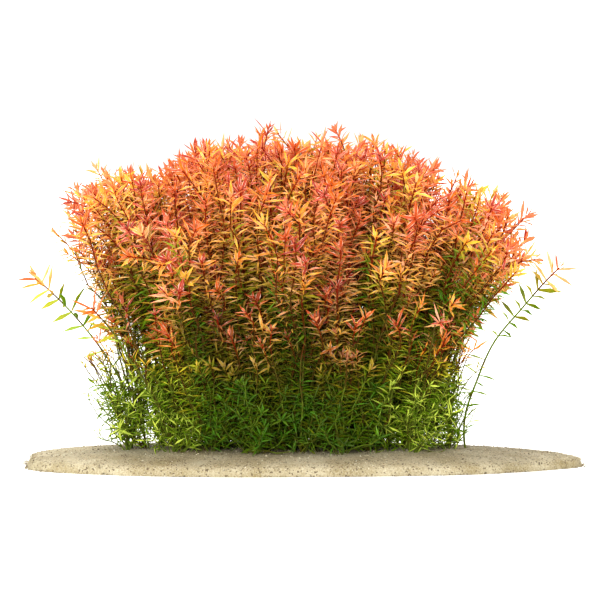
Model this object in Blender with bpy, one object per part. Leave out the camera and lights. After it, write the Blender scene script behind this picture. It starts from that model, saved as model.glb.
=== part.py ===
"""A clump of rotala, a red and green aquarium stem plant, growing in a low bed of sand.

Every planted stem is one solid, a thin stem with its whorls of leaves fused to it. The sand bed
is a flat-bottomed mound with one blind planting hole for each stem. Metres, +Z up, with the
origin at the middle of the sand bed's flat underside and +X along the clump's long side.
"""

import math
import random

import bmesh
import bpy
from mathutils import Matrix, Vector

MM = 0.001

# Sand bed
SAND_HALF_LENGTH = 222 * MM
SAND_HALF_DEPTH = 134 * MM
SAND_RIM_THICKNESS = 2.5 * MM
SAND_MIDDLE_THICKNESS = 18 * MM
SAND_DOME_POWER = 0.85
SAND_OUTLINE_WAVE = 0.018
SAND_LUMP = 0.7 * MM
SAND_SEGMENTS = 40
SAND_RING_SHARES = (1.0, 0.93, 0.8, 0.6, 0.34)
SAND_FLOOR_UNDER_HOLES = 4.5 * MM

# Footprint of the stems on the sand, and the crown that their tips make, fuller on the left
FOOT_LEFT = 132 * MM
FOOT_RIGHT = 114 * MM
FOOT_HALF_DEPTH = 58 * MM
CROWN_HALF_LENGTH = 192 * MM
CROWN_HALF_DEPTH = 118 * MM
CROWN_PEAK = 262 * MM
CROWN_SHOULDER = 240 * MM
PEAK_INNER = 55 * MM
PEAK_OUTER = 130 * MM
CROWN_POWER = 4.8
CROWN_FULLER_LEFT = 1.2
CROWN_RIM_SHARE = 0.975
CANOPY_STEMS = 42
CANOPY_CROWDING = 0.45
GOLDEN_ANGLE = math.pi * (3 - math.sqrt(5))
TIP_JITTER = 6 * MM
SEED = 7

# Short stems that lean out round the foot of the clump
SKIRT_STEMS = 12
SKIRT_FOOT_SHARES = (1.08, 1.12)
SKIRT_REACH = 30 * MM
SKIRT_FULLER_LEFT = 15 * MM
SKIRT_HEIGHTS = (58 * MM, 96 * MM)

# Long shoots that stand out from the crown: the foot's angle and share of the footprint, then the tip
ARCHING_STEMS = (
    (180, 1.02, (-208 * MM, -6 * MM, 146 * MM)),
    (0, 1.16, (203 * MM, 6 * MM, 152 * MM)),
    (216, 1.05, (-163 * MM, -88 * MM, 128 * MM)),
    (36, 1.05, (156 * MM, 84 * MM, 132 * MM)),
)

# How a stem bends: two control points, as shares of its rise and of its spread
STEM_BENDS = ((0.42, 0.10), (0.78, 0.62))
ARCHING_BENDS = ((0.56, 0.01), (0.72, 0.42))
ROUTE_SAMPLES = 28

# Stem and leaves
STEM_SIDES = 3
STEM_RADIUS = 1.3 * MM
NODE_RADIUS = 2.4 * MM
LEAF_REACH = 21 * MM
SHORTEST_REACH = 6 * MM
LEAF_CLEARANCE = 0.6 * MM
TOP_SPACING = 11.5 * MM
SPACING_GROWTH = 1.1 * MM
MOST_WHORLS = 12
LOWEST_WHORL = 7 * MM
LOW_LEAF_RISE = math.radians(12)
TOP_LEAF_RISE = math.radians(62)
TIP_BUD_LENGTH = 11 * MM
PLANTING_DEPTH = 9 * MM
GAP = 0.4 * MM

FOLIAGE_RED = (0.62, 0.13, 0.03, 1.0)
FOLIAGE_GREEN = (0.13, 0.2, 0.015, 1.0)
STEM_BROWN = (0.16, 0.07, 0.02, 1.0)
SAND_BEIGE = (0.55, 0.47, 0.3, 1.0)
GREEN_BELOW = 105 * MM
RED_SLOT, GREEN_SLOT, BROWN_SLOT = range(3)


def clear_scene():
    """Removes the objects of the startup scene."""
    for obj in list(bpy.data.objects):
        bpy.data.objects.remove(obj)


def collection_named(name):
    """A new collection, linked to the scene."""
    made = bpy.data.collections.new(name)
    bpy.context.scene.collection.children.link(made)
    return made


def material_named(name, colour, roughness):
    """A plain Principled material."""
    made = bpy.data.materials.new(name)
    made.use_nodes = True
    shader = made.node_tree.nodes["Principled BSDF"]
    shader.inputs["Base Color"].default_value = colour
    shader.inputs["Roughness"].default_value = roughness
    shader.inputs["Metallic"].default_value = 0.0
    made.diffuse_color = colour
    return made


def object_from(bm, name, collection, materials):
    """The bmesh as a named object with its materials."""
    bmesh.ops.recalc_face_normals(bm, faces=bm.faces)
    mesh = bpy.data.meshes.new(name)
    bm.to_mesh(mesh)
    bm.free()
    for material in materials:
        mesh.materials.append(material)
    made = bpy.data.objects.new(name, mesh)
    collection.objects.link(made)
    return made


def capped_ring(bm, segments):
    """A filled unit circle at the origin, as (its vertices, its edges)."""
    verts = bmesh.ops.create_circle(bm, cap_ends=True, segments=segments, radius=1.0)["verts"]
    return verts, list({edge for vert in verts for edge in vert.link_edges})


def next_ring(bm, edges):
    """A wall drawn out from a ring of edges, as (new vertices, new edges, wall faces)."""
    made = bmesh.ops.extrude_edge_only(bm, edges=edges)["geom"]
    verts = [item for item in made if isinstance(item, bmesh.types.BMVert)]
    faces = [item for item in made if isinstance(item, bmesh.types.BMFace)]
    edges = [item for item in made if isinstance(item, bmesh.types.BMEdge)]
    return verts, [edge for edge in edges if all(vert in verts for vert in edge.verts)], faces


def poked_cap(bm, edges):
    """Closes a ring with a fan of triangles and gives the vertex in its middle."""
    cap = bmesh.ops.contextual_create(bm, geom=edges)["faces"]
    return bmesh.ops.poke(bm, faces=cap)["verts"][0]


def outline_share(angle):
    """How far the sand's wavy outline stands out at an angle, as a share of its ellipse."""
    wave = math.sin(3 * angle + 0.6) + 0.7 * math.sin(7 * angle + 2.1)
    return 1 + SAND_OUTLINE_WAVE * wave


def sand_height(x, y):
    """Height of the sand's surface, a low dome with a few lumps."""
    share = math.hypot(x / SAND_HALF_LENGTH, y / SAND_HALF_DEPTH)
    dome = max(0.0, 1 - share * share)
    rise = (SAND_MIDDLE_THICKNESS - SAND_RIM_THICKNESS) * dome ** SAND_DOME_POWER
    lump = math.sin(34 * x + 1.3) * math.sin(47 * y + 0.4)
    return SAND_RIM_THICKNESS + rise + SAND_LUMP * lump * dome


def crown_top(x):
    """Height of the crown's roof, level at the shoulders and higher in the middle."""
    share = min(1.0, max(0.0, (PEAK_OUTER - abs(x)) / (PEAK_OUTER - PEAK_INNER)))
    return CROWN_SHOULDER + (CROWN_PEAK - CROWN_SHOULDER) * share * share * (3 - 2 * share)


def foot_at(along, across):
    """Place on the sand, from shares of the footprint's half length and half depth."""
    return (FOOT_LEFT if along < 0 else FOOT_RIGHT) * along, FOOT_HALF_DEPTH * across


def canopy_tips():
    """(tip, foot) of each stem of the crown, spread on a sunflower spiral."""
    draw = random.Random(SEED)
    for i in range(CANOPY_STEMS):
        share = CROWN_RIM_SHARE * ((i + 0.5) / CANOPY_STEMS) ** CANOPY_CROWDING
        angle = i * GOLDEN_ANGLE
        along, across = share * math.cos(angle), share * math.sin(angle)
        power = CROWN_POWER - CROWN_FULLER_LEFT * along
        x = CROWN_HALF_LENGTH * along
        top = crown_top(x) * (1 - share ** power) ** (1 / power)
        jitter = [draw.uniform(-TIP_JITTER, TIP_JITTER) for _ in range(3)]
        yield Vector((x, CROWN_HALF_DEPTH * across, top)) + Vector(jitter), foot_at(along, across)


def skirt_tips():
    """(tip, foot) of each short stem that leans out around the foot of the clump."""
    draw = random.Random(SEED + 1)
    for i in range(SKIRT_STEMS):
        angle = 2 * math.pi * (i + 0.5) / SKIRT_STEMS
        along, across = math.cos(angle), math.sin(angle)
        wider, deeper = SKIRT_FOOT_SHARES
        foot = foot_at(wider * along, deeper * across)
        reach = (SKIRT_REACH - SKIRT_FULLER_LEFT * along) * draw.uniform(0.7, 1.0)
        height = draw.uniform(*SKIRT_HEIGHTS)
        yield Vector((foot[0] + reach * along, foot[1] + reach * across, height)), foot


def arching_tips():
    """(tip, foot) of each long shoot that stands out from the crown."""
    for degrees, share, tip in ARCHING_STEMS:
        angle = math.radians(degrees)
        yield Vector(tip), foot_at(share * math.cos(angle), share * math.sin(angle))


def stem_route(tip, foot, bends):
    """Points along a stem, upright in the sand and then leaning out towards its tip."""
    surface = Vector((*foot, sand_height(*foot)))
    lean = tip - surface
    rise = Vector((0, 0, lean.z))
    spread = lean - rise
    first, second = (surface + up * rise + out * spread for up, out in bends)
    depth = min(PLANTING_DEPTH, surface.z - SAND_FLOOR_UNDER_HOLES)
    points = [surface - Vector((0, 0, depth))]
    for k in range(ROUTE_SAMPLES + 1):
        t = k / ROUTE_SAMPLES
        s = 1 - t
        points.append(
            s ** 3 * surface + 3 * s * s * t * first + 3 * s * t * t * second + t ** 3 * tip
        )
    return points


def route_length(points):
    """Length of a route."""
    return sum((b - a).length for a, b in zip(points, points[1:]))


def point_along(points, distance):
    """(point, direction) at a distance from the start of a route."""
    for a, b in zip(points, points[1:]):
        step = (b - a).length
        if distance <= step:
            break
        distance -= step
    return a + (b - a) * min(1.0, distance / step), (b - a).normalized()


def room_around(point, name, routes):
    """Distance from a point to the nearest other stem."""
    return min(
        (other_point - point).length
        for other, route in routes.items()
        if other != name
        for other_point in route
    )


def whorl_ends(length, lowest):
    """Distances along a stem between its whorls of leaves, from the lowest up to the tip."""
    ends = [length]
    spacing = TOP_SPACING
    while len(ends) <= MOST_WHORLS and ends[0] - spacing > lowest:
        ends.insert(0, ends[0] - spacing)
        spacing += SPACING_GROWTH
    return ends


def ring_frame(point, direction, turn, radius):
    """Matrix that places a unit ring across a stem."""
    facing = Vector((0, 0, 1)).rotation_difference(direction).to_matrix().to_4x4()
    return Matrix.Translation(point) @ facing @ Matrix.Rotation(turn, 4, "Z") @ Matrix.Scale(radius, 4)


def pull_out_leaves(bm, faces, middle, direction, rise, reach):
    """Pokes a ring's faces and pulls each new point out into a leaf."""
    poked = bmesh.ops.poke(bm, faces=faces)
    for vert in poked["verts"]:
        outward = vert.co - middle
        outward -= outward.dot(direction) * direction
        outward.normalize()
        vert.co = middle + reach * (math.cos(rise) * outward + math.sin(rise) * direction)
    for face in poked["faces"]:
        face.material_index = RED_SLOT if middle.z > GREEN_BELOW else GREEN_SLOT


def leafy_stem(name, routes, collection, materials):
    """One planted stem, a three-sided tube whose upper faces are pulled out into whorls of leaves."""
    points = routes[name]
    buried = (points[1] - points[0]).length
    ends = whorl_ends(route_length(points), buried + LOWEST_WHORL)
    bm = bmesh.new()
    ring, edges = capped_ring(bm, STEM_SIDES)
    frame = Matrix.Identity(4)
    stations = [0.0, buried] + ends
    for index, distance in enumerate(stations):
        faces = []
        if index:
            ring, edges, faces = next_ring(bm, edges)
        whorl = max(0, index - 2)
        point, direction = point_along(points, distance)
        swollen = whorl > 0 and distance < stations[-1]
        radius = NODE_RADIUS if swollen else STEM_RADIUS
        target = ring_frame(point, direction, whorl * math.pi / STEM_SIDES, radius)
        bmesh.ops.transform(bm, matrix=target @ frame.inverted(), verts=ring)
        frame = target
        for face in faces:
            face.material_index = BROWN_SLOT
        if whorl:
            middle, facing = point_along(points, (distance + stations[index - 1]) / 2)
            share = whorl / (len(ends) - 1)
            rise = LOW_LEAF_RISE + (TOP_LEAF_RISE - LOW_LEAF_RISE) * share ** 2
            room = room_around(middle, name, routes) / 2 - LEAF_CLEARANCE
            reach = max(SHORTEST_REACH, min(LEAF_REACH, room))
            pull_out_leaves(bm, faces, middle, facing, rise, reach)
    poked_cap(bm, edges).co = points[-1] + TIP_BUD_LENGTH * direction
    return object_from(bm, name, collection, materials)


def planting_holes(cutters, routes):
    """One helper object with a prism for each stem's hole, a gap wider and deeper than the stem."""
    bm = bmesh.new()
    for points in routes.values():
        bottom = points[0] - Vector((0, 0, GAP))
        height = SAND_MIDDLE_THICKNESS
        radius = STEM_RADIUS + 2 * GAP
        place = Matrix.Translation(bottom + Vector((0, 0, height / 2)))
        bmesh.ops.create_cone(
            bm, cap_ends=True, segments=STEM_SIDES, radius1=radius, radius2=radius,
            depth=height, matrix=place,
        )
    holes = object_from(bm, "planting_holes", cutters, [])
    holes.hide_render = True
    holes.display_type = "WIRE"
    return holes


def sand_bed(collection, cutters, routes, material):
    """The mound of sand, with a blind hole for each stem."""
    bm = bmesh.new()
    ring, edges = capped_ring(bm, SAND_SEGMENTS)
    for vert in ring:
        share = outline_share(math.atan2(vert.co.y, vert.co.x))
        vert.co = share * Vector((vert.co.x * SAND_HALF_LENGTH, vert.co.y * SAND_HALF_DEPTH, 0))
    reached = SAND_RING_SHARES[0]
    for share in SAND_RING_SHARES:
        ring, edges, _ = next_ring(bm, edges)
        bmesh.ops.scale(bm, vec=Vector((share / reached, share / reached, 1)), verts=ring)
        reached = share
        for vert in ring:
            vert.co.z = sand_height(vert.co.x, vert.co.y)
    middle = poked_cap(bm, edges)
    middle.co.z = sand_height(middle.co.x, middle.co.y)
    bed = object_from(bm, "sand_bed", collection, [material])
    cut = bed.modifiers.new("planting holes", "BOOLEAN")
    cut.operation = "DIFFERENCE"
    cut.object = planting_holes(cutters, routes)
    return bed


def main():
    """Builds the sand bed and every stem."""
    clear_scene()
    clump = collection_named("rotala_clump")
    cutters = collection_named("cutters")
    red = material_named("rotala leaf, crown", FOLIAGE_RED, 0.45)
    green = material_named("rotala leaf, low", FOLIAGE_GREEN, 0.45)
    brown = material_named("rotala stem", STEM_BROWN, 0.5)
    sand = material_named("aquarium sand", SAND_BEIGE, 0.9)
    routes = {}
    for prefix, tips, bends in (
        ("canopy_stem", canopy_tips(), STEM_BENDS),
        ("skirt_stem", skirt_tips(), STEM_BENDS),
        ("arching_stem", arching_tips(), ARCHING_BENDS),
    ):
        for number, (tip, foot) in enumerate(tips, 1):
            routes[f"{prefix}_{number:02d}"] = stem_route(tip, foot, bends)
    for name in routes:
        leafy_stem(name, routes, clump, [red, green, brown])
    sand_bed(clump, cutters, routes, sand)


main()
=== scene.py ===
"""Dresses the rotala clump: leafy shoots on every planted stem, and grains on the bed of sand."""

import logging
import math
from dataclasses import dataclass, field
from enum import Enum
from typing import Any, Sequence

import bmesh
import bpy
import numpy as np
from mathutils import Matrix, Vector


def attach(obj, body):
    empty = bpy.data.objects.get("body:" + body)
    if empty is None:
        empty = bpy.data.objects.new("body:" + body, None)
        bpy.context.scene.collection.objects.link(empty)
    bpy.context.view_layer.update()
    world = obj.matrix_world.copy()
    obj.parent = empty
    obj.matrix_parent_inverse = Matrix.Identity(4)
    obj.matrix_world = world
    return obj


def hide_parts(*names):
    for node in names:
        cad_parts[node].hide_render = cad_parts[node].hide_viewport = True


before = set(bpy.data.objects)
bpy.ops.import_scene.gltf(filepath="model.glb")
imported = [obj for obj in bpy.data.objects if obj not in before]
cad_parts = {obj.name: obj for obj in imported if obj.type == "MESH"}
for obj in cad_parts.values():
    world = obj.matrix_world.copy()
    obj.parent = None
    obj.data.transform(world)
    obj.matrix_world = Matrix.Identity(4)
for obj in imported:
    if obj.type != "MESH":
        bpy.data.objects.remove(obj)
log = logging.getLogger("rotala")

Draw = np.random.Generator
Ramp = tuple[tuple[float, str], ...]
Span = tuple[float, float]
Point = tuple[float, float, float]

MM = 0.001
SEED = 20
FULL_TURN = 2 * math.pi
GOLDEN_ANGLE = math.pi * (3 - math.sqrt(5))
TO_Y = Matrix.Rotation(-math.pi / 2, 3, "X")
UPRIGHT = np.array([0.0, 0.0, 1.0])
LEVEL = np.array([1.0, 1.0, 0.0])
# No shoot runs this way, so a vector across any of them can be found from it
ASIDE = np.array([0.31, 0.95, 0.05])
LEAST = 1e-12

# The two colours of a colour Mix node by number, because their names repeat, and its settings
MIX_A, MIX_B = 6, 7
COLOUR_MIX = {"data_type": "RGBA", "output": 2}
# Nearly all of a noise texture lies between these values
NOISE_SPAN = (0.3, 0.7)


def linear(code: str) -> tuple[float, float, float, float]:
    """Turns an sRGB hex colour into linear light.

    Args:
        code: Six hex digits, such as "d2723a".

    Returns:
        The colour as linear red, green, blue and an alpha of 1.
    """
    shares = [int(code[i : i + 2], 16) / 255 for i in (0, 2, 4)]
    red, green, blue = (s / 12.92 if s <= 0.04045 else ((s + 0.055) / 1.055) ** 2.4 for s in shares)
    return red, green, blue, 1.0


def add_node(
    material: bpy.types.Material,
    kind: str,
    inputs: Sequence[Any] | dict[str | int, Any] = (),
    stops: Ramp = (),
    output: int | str = 0,
    **settings: Any,
) -> bpy.types.NodeSocket:
    """Adds a shader node with its settings and links.

    Args:
        material: Material that gets the node.
        kind: Blender's name of the node's type, after its ShaderNode.
        inputs: Values or other nodes' outputs, in the inputs' order or by name or number.
        stops: Places and hex colours of a colour ramp.
        output: Name or number of the output that is wanted.
        settings: Properties of the node.

    Returns:
        That output of the new node.
    """
    tree = material.node_tree
    node = tree.nodes.new("ShaderNode" + kind)
    for name, value in settings.items():
        setattr(node, name, value)
    for index, (place, code) in enumerate(stops):
        ramp = node.color_ramp.elements
        stop = ramp[index] if index < 2 else ramp.new(place)
        stop.position, stop.color = place, linear(code)
    for key, value in inputs.items() if isinstance(inputs, dict) else enumerate(inputs):
        if isinstance(value, bpy.types.NodeSocket):
            tree.links.new(value, node.inputs[key])
        else:
            node.inputs[key].default_value = value
    return node.outputs[output]


def linked(name: str, data: bpy.types.ID) -> bpy.types.Object:
    """Makes an object and puts it in the scene.

    Args:
        name: Its name.
        data: Its mesh, light or camera.

    Returns:
        The object.
    """
    made = bpy.data.objects.new(name, data)
    bpy.context.scene.collection.objects.link(made)
    return made


def meshed(name: str, bm: bmesh.types.BMesh, material: bpy.types.Material) -> bpy.types.Object:
    """Turns a bmesh into an object, and frees it.

    Args:
        name: Name of the object.
        bm: Its shape.
        material: Its only material.

    Returns:
        The object, with its place in its mesh.
    """
    mesh = bpy.data.meshes.new(name)
    bm.to_mesh(mesh)
    bm.free()
    mesh.materials.append(material)
    return linked(name, mesh)


def capped_ring(bm: bmesh.types.BMesh, sides: int) -> tuple[list, list]:
    """Starts a shape from a flat disc.

    Args:
        bm: Mesh that it goes into.
        sides: Corners of the disc.

    Returns:
        The corners and the edges of its ring.
    """
    ring = bmesh.ops.create_circle(bm, segments=sides, radius=1.0, cap_ends=True)["verts"]
    return ring, list({edge for vert in ring for edge in vert.link_edges})


def next_ring(bm: bmesh.types.BMesh, edges: list) -> tuple[list, list]:
    """Draws a ring of edges out into a new one.

    Args:
        bm: Mesh that they are in.
        edges: Edges of the open ring.

    Returns:
        The corners and the edges of the new ring.
    """
    drawn = bmesh.ops.extrude_edge_only(bm, edges=edges)["geom"]
    ring = [item for item in drawn if isinstance(item, bmesh.types.BMVert)]
    edges = [item for item in drawn if isinstance(item, bmesh.types.BMEdge)]
    inside = set(ring)
    return ring, [edge for edge in edges if inside.issuperset(edge.verts)]


def unit(rows: np.ndarray) -> np.ndarray:
    """Each row scaled to length 1."""
    return rows / np.maximum(np.linalg.norm(rows, axis=-1, keepdims=True), LEAST)


def smooth_step(value: np.ndarray | float, low: float, high: float) -> np.ndarray:
    """How far a value has come from low to high, from 0 to 1, easing in and out."""
    share = np.clip((np.asarray(value) - low) / (high - low), 0, 1)
    return share * share * (3 - 2 * share)


def across_frame(along: np.ndarray) -> tuple[np.ndarray, np.ndarray]:
    """Two unit vectors across each unit direction and across each other."""
    first = unit(np.cross(along, ASIDE))
    return first, np.cross(along, first)


class Finish:
    """A surface that its subclasses describe: what it is made of, and the shader that shows it."""

    name: str

    def surface(self, made: bpy.types.Material) -> bpy.types.NodeSocket:
        """The shader of the surface, whose nodes go into a material."""
        raise NotImplementedError

    def material(self) -> bpy.types.Material:
        """Builds the finish as a node material.

        Returns:
            The material.
        """
        made = bpy.data.materials.new(self.name)
        made.use_nodes = True
        nodes = made.node_tree.nodes
        nodes.clear()
        shown = nodes.new("ShaderNodeOutputMaterial")
        made.node_tree.links.new(self.surface(made), shown.inputs["Surface"])
        return made


@dataclass(frozen=True)
class LeafFinish(Finish):
    """Living leaf blade with a thin waxy skin: satin above, paler and pinker below, and lit from behind.

    Its colour goes from green through ochre to red as the leaf ripens, so one material gives the
    eye the green foot, the olive middle and the fiery crown.

    Attributes:
        ripening: Ripeness at each of the seven colours of a leaf.
        warm: Those of a golden leaf, as cool is of a red one and rosy of a pink one.
        young: Colours of a leaf just out of its bud, of an arching shoot's leaves, and of the painted
            light on low leaves at the clump's open ends.
        under: Colours of the underside.
        margin_and_highlight: Colour of the midrib and of the thin margins, which on the margins is partly
            painted highlight.
        reddened: Tints between which a leaf goes from warm to cool.
        pinked: Tints between which it goes from cool to rosy.
        blotch: Size of the uneven patches.
        blotchy: How far a patch is riper or greener.
        midrib: Distances from the middle over which the midrib fades, as shares of the width.
        margins: Distances over which the margins are painted pale, partly as painted highlight.
        margins_ripe: Ripeness over which the pale margins come in at all.
        painted_shade_darkest: Brightness of a leaf in the deepest painted shade.
        glow: Share of the light that comes through.
        skin_grain: Size of the skin's bumps, drawn coarse enough to show.
    """

    name: str = "Living leaf blade, satin skin"
    ripening: tuple[float, ...] = (0.0, 0.2, 0.4, 0.55, 0.7, 0.85, 1.0)
    warm: tuple[str, ...] = ("5a9612", "94a010", "c4a418", "f4d04c", "f4c24c", "d67e14", "c24c00")
    cool: tuple[str, ...] = ("46640a", "6c6c08", "a47c0c", "ecb444", "e8963c", "c24608", "a61c00")
    rosy: tuple[str, ...] = ("466c0a", "7e7c14", "c09848", "fcc898", "fcb490", "d8644c", "a82c1c")
    young: Ramp = ((0.0, "d8e464"), (0.3, "e4d83c"), (0.6, "e4a838"), (1.0, "d88018"))
    under: Ramp = ((0.0, "70901c"), (0.35, "b4982c"), (0.6, "fcd494"), (1.0, "e8946c"))
    margin_and_highlight: str = "ffe4d0"
    reddened: Span = (0.25, 0.7)
    pinked: Span = (0.66, 0.96)
    blotch: float = 6 * MM
    blotchy: float = 0.06
    midrib: Span = (0.03, 0.12)
    midrib_paler: float = 0.2
    margins: Span = (0.22, 0.38)
    margins_paler: float = 0.9
    margins_ripe: Span = (0.25, 0.6)
    painted_shade_darkest: float = 0.56
    roughness: float = 0.5
    ior: float = 1.45
    specular: float = 0.05
    glow: float = 0.5
    skin_grain: float = 0.5 * MM
    skin_height: float = 0.05 * MM
    skin_strength: float = 0.25

    def surface(self, made: bpy.types.Material) -> bpy.types.NodeSocket:
        """Mixes the leaf's skin with the light that comes through it.

        Args:
            made: Material that gets the nodes.

        Returns:
            The shader, which reads the attributes growth and underside and the map leaf.
        """
        growth = add_node(made, "Attribute", output="Vector", attribute_name="growth")
        ripe, tint, fresh_painted_light_and_shade = add_node(made, "SeparateXYZ", [growth]).node.outputs
        place = add_node(made, "TexCoord", output="Object")
        blotch = add_node(made, "TexNoise", {"Vector": place, "Scale": 1 / self.blotch, "Detail": 2.0})
        uneven = add_node(made, "MapRange", [blotch, *NOISE_SPAN, -self.blotchy, self.blotchy])
        ripe = add_node(made, "Math", [ripe, uneven], operation="ADD")
        kinds = [tuple(zip(self.ripening, codes)) for codes in (self.warm, self.cool, self.rosy)]
        warm, cool, rosy, young, under = (
            add_node(made, "ValToRGB", [ripe], stops) for stops in (*kinds, self.young, self.under)
        )
        reddened = add_node(made, "MapRange", [tint, *self.reddened])
        pinked = add_node(made, "MapRange", [tint, *self.pinked])
        above = add_node(made, "Mix", {0: reddened, MIX_A: warm, MIX_B: cool}, **COLOUR_MIX)
        above = add_node(made, "Mix", {0: pinked, MIX_A: above, MIX_B: rosy}, **COLOUR_MIX)

        # The midrib is a fine paler line, and the thin margins are painted pale, partly their own paler
        # colour and partly painted highlight
        across = add_node(made, "SeparateXYZ", [add_node(made, "UVMap", uv_map="leaf")])
        off = add_node(made, "Math", [across, 0.5], operation="SUBTRACT")
        off = add_node(made, "Math", [off], operation="ABSOLUTE")
        rib = add_node(made, "MapRange", [off, *self.midrib, self.midrib_paler, 0.0])
        edge = add_node(made, "MapRange", [off, *self.margins, 0.0, self.margins_paler])
        turned = add_node(made, "MapRange", [ripe, *self.margins_ripe])
        edge = add_node(made, "Math", [edge, turned], operation="MULTIPLY")
        paler = add_node(made, "Math", [rib, edge], operation="ADD")
        margin_and_highlight = linear(self.margin_and_highlight)
        above = add_node(made, "Mix", {0: paler, MIX_A: above, MIX_B: margin_and_highlight}, **COLOUR_MIX)
        above = add_node(made, "Mix", {0: fresh_painted_light_and_shade, MIX_A: above, MIX_B: young}, **COLOUR_MIX)

        # Below 0 the freshness is painted shade: it darkens leaves low inside the clump, where the others
        # would shade them
        side = add_node(made, "Attribute", output="Fac", attribute_name="underside")
        colour = add_node(made, "Mix", {0: side, MIX_A: above, MIX_B: under}, **COLOUR_MIX)
        shade = add_node(made, "MapRange", [fresh_painted_light_and_shade, -1.0, 0.0, self.painted_shade_darkest, 1.0])
        shaded = {0: 1.0, MIX_A: colour, MIX_B: shade}
        colour = add_node(made, "Mix", shaded, blend_type="MULTIPLY", **COLOUR_MIX)

        grain = add_node(made, "TexNoise", {"Vector": place, "Scale": 1 / self.skin_grain})
        bumps = {"Height": grain, "Strength": self.skin_strength, "Distance": self.skin_height}
        satin = {
            "Base Color": colour,
            "Roughness": self.roughness,
            "IOR": self.ior,
            "Specular IOR Level": self.specular,
            "Normal": add_node(made, "Bump", bumps),
        }
        skin = add_node(made, "BsdfPrincipled", satin)
        through = add_node(made, "BsdfTranslucent", {"Color": colour})
        return add_node(made, "MixShader", [self.glow, skin, through])


@dataclass(frozen=True)
class StemFinish(Finish):
    """Living stem skin, smooth and a little glossy: green where young or shaded, red-brown in the light.

    Attributes:
        colours: Colours from unripe to ripe.
        streak: Length of the uneven streaks.
        streaky: How far a streak is riper or greener.
    """

    name: str = "Living stem skin, smooth"
    colours: Ramp = (
        (0.0, "5a6a22"), (0.14, "4a4818"), (0.3, "443010"), (0.5, "502406"), (1.0, "7c1c04"),
    )
    streak: float = 9 * MM
    streaky: float = 0.18
    roughness: float = 0.5
    ior: float = 1.45
    specular: float = 0.08

    def surface(self, made: bpy.types.Material) -> bpy.types.NodeSocket:
        """The stem's skin.

        Args:
            made: Material that gets the nodes.

        Returns:
            The shader, which reads the attribute growth.
        """
        growth = add_node(made, "Attribute", output="Vector", attribute_name="growth")
        ripe = add_node(made, "SeparateXYZ", [growth])
        place = add_node(made, "TexCoord", output="Object")
        streak = add_node(made, "TexNoise", {"Vector": place, "Scale": 1 / self.streak, "Detail": 3.0})
        uneven = add_node(made, "MapRange", [streak, *NOISE_SPAN, -self.streaky, self.streaky])
        ripe = add_node(made, "Math", [ripe, uneven], operation="ADD")
        smooth = {
            "Base Color": add_node(made, "ValToRGB", [ripe], self.colours),
            "Roughness": self.roughness,
            "IOR": self.ior,
            "Specular IOR Level": self.specular,
        }
        return add_node(made, "BsdfPrincipled", smooth)


@dataclass(frozen=True)
class SandFinish(Finish):
    """Washed quartz sand, worn round by water: pale beige, matt, with a dark grain here and there.

    Attributes:
        patch: Size of the broad paler and deeper patches.
        grain: Size of a grain, drawn coarse enough to show.
        mixing: Values of both noises together between which deep turns to pale.
        specks: Values of a grain between which it turns to a speck.
    """

    name: str = "Washed quartz sand, loose"
    pale: str = "a59c83"
    deep: str = "7c6f4e"
    dark: str = "4c3e2c"
    patch: float = 28 * MM
    grain: float = 1.2 * MM
    mixing: Span = (0.75, 1.25)
    specks: Span = (0.9, 0.94)
    speck_dark: float = 0.85
    grain_height: float = 0.4 * MM
    grain_strength: float = 0.6
    roughness: float = 0.88

    def surface(self, made: bpy.types.Material) -> bpy.types.NodeSocket:
        """The bed's skin, with the grains too small to be modelled drawn in colour and bump.

        Args:
            made: Material that gets the nodes.

        Returns:
            The shader.
        """
        place = add_node(made, "TexCoord", output="Object")
        broad = add_node(made, "TexNoise", {"Vector": place, "Scale": 1 / self.patch, "Detail": 4.0})
        fine = add_node(made, "TexNoise", {"Vector": place, "Scale": 1 / self.grain, "Detail": 2.0})
        both = add_node(made, "Math", [broad, fine], operation="ADD")
        mixed = add_node(made, "MapRange", [both, *self.mixing])
        ground = {0: mixed, MIX_A: linear(self.deep), MIX_B: linear(self.pale)}
        ground = add_node(made, "Mix", ground, **COLOUR_MIX)
        cells = add_node(made, "TexVoronoi", {"Vector": place, "Scale": 1 / self.grain}, output="Color")
        pick = add_node(made, "SeparateColor", [cells])
        speck = add_node(made, "MapRange", [pick, *self.specks, 0.0, self.speck_dark])
        colour = add_node(made, "Mix", {0: speck, MIX_A: ground, MIX_B: linear(self.dark)}, **COLOUR_MIX)
        bumps = {
            "Height": cells.node.outputs["Distance"],
            "Strength": self.grain_strength,
            "Distance": self.grain_height,
        }
        matt = {"Base Color": colour, "Roughness": self.roughness, "Normal": add_node(made, "Bump", bumps)}
        return add_node(made, "BsdfPrincipled", matt)


@dataclass(frozen=True)
class GrainFinish(Finish):
    """Single grains of quartz and dark rock, each worn matt, so that the bed looks loose and speckled."""

    name: str = "Single sand grains, water-worn"
    colours: Ramp = (
        (0.0, "281e14"), (0.16, "58442a"), (0.22, "7a6e54"), (0.55, "9a9074"), (0.9, "a79f86"),
        (1.0, "c2bca8"),
    )
    roughness: float = 0.75

    def surface(self, made: bpy.types.Material) -> bpy.types.NodeSocket:
        """The grains' skin.

        Args:
            made: Material that gets the nodes.

        Returns:
            The shader, which reads the attribute growth as each grain's own shade.
        """
        growth = add_node(made, "Attribute", output="Vector", attribute_name="growth")
        shade = add_node(made, "SeparateXYZ", [growth])
        colour = add_node(made, "ValToRGB", [shade], self.colours)
        return add_node(made, "BsdfPrincipled", {"Base Color": colour, "Roughness": self.roughness})


@dataclass(frozen=True)
class FloorFinish(Finish):
    """Studio floor, rolled with matt white paint, so that it shows no gloss and a soft shadow."""

    name: str = "Matt white studio floor, painted"
    colour: str = "f4f4f2"
    roughness: float = 0.9

    def surface(self, made: bpy.types.Material) -> bpy.types.NodeSocket:
        """The floor's skin, in a material that gets its node."""
        paint = {"Base Color": linear(self.colour), "Roughness": self.roughness}
        return add_node(made, "BsdfPrincipled", paint)


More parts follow.
